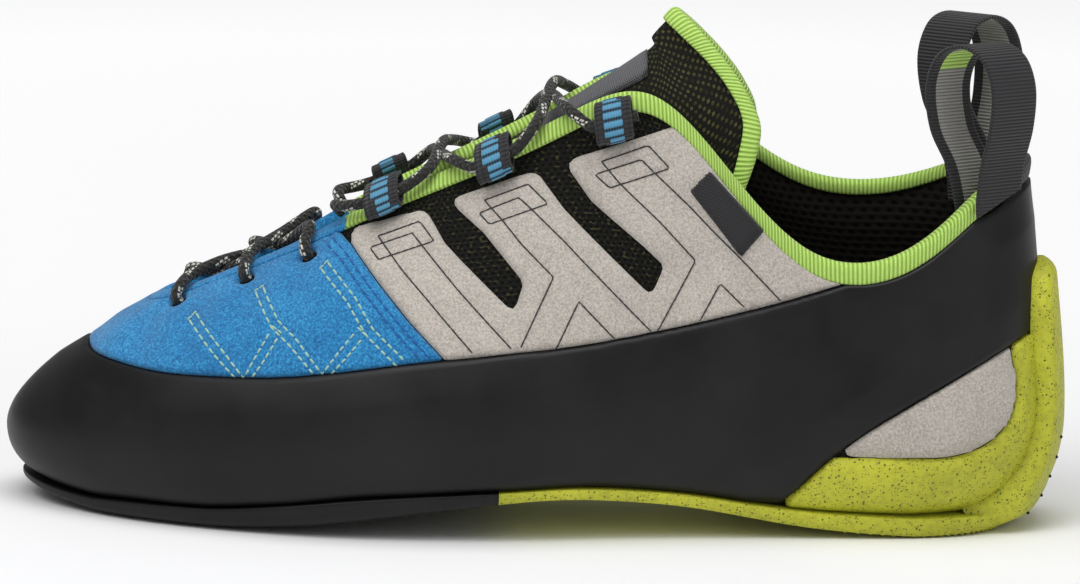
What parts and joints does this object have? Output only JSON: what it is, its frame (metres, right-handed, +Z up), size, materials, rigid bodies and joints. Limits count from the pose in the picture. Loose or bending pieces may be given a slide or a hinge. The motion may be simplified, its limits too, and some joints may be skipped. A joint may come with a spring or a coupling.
{
  "type": "climbing shoe",
  "caption": "Lace-up climbing shoe for the left foot: suede and mesh upper, rubber rand with a heel band, two-part outsole, tongue, laces and pull loops.",
  "frame": {"origin": "centre of the shoe's bounding box in plan, on the floor plane", "axes": "+X from toe to heel, +Y towards the inner side of the foot, +Z up"},
  "size_m": [0.276, 0.0906, 0.1331],
  "materials": {
    "black_knit": "open black mesh, matt",
    "blue_suede": "napped suede, matt",
    "grey_microfibre": "fine napped microfibre, matt",
    "black_rubber": "smooth satin rubber",
    "lime_rubber": "speckled satin rubber",
    "lime_binding": "ribbed tape",
    "black_webbing": "woven webbing",
    "blue_striped_webbing": "woven webbing with a ribbed stripe",
    "black_lace": "braided cord",
    "insole_board": "matt lining",
    "grey_label": "woven label, bare"
  },
  "bodies": {
    "root": {"upper": "black_knit", "vamp": "blue_suede", "quarter_outer_side": "grey_microfibre", "quarter_inner_side": "grey_microfibre", "heel_panel_outer_side": "grey_microfibre", "heel_panel_inner_side": "grey_microfibre", "rand": "black_rubber", "heel_rand": "lime_rubber", "outsole_front": "black_rubber", "outsole_rear": "lime_rubber", "insole": "insole_board", "collar_binding": "lime_binding", "tongue": "black_knit", "tongue_binding": "lime_binding", "tongue_label": "grey_label", "side_tab": "black_webbing", "pull_loop_outer_side": "black_webbing", "pull_loop_inner_side": "black_webbing", "lace_loop_1_outer_side": "blue_striped_webbing", "lace_loop_1_inner_side": "blue_striped_webbing", "lace_loop_2_outer_side": "blue_striped_webbing", "lace_loop_2_inner_side": "blue_striped_webbing", "lace_loop_3_outer_side": "blue_striped_webbing", "lace_loop_3_inner_side": "blue_striped_webbing", "lace_crossing_1": "black_lace", "lace_crossing_2": "black_lace", "lace_crossing_3": "black_lace", "lace_crossing_4": "black_lace", "lace_lead_outer_side": "black_lace", "lace_end_outer_side": "black_lace", "lace_lead_inner_side": "black_lace", "lace_end_inner_side": "black_lace"}
  },
  "joints": []
}
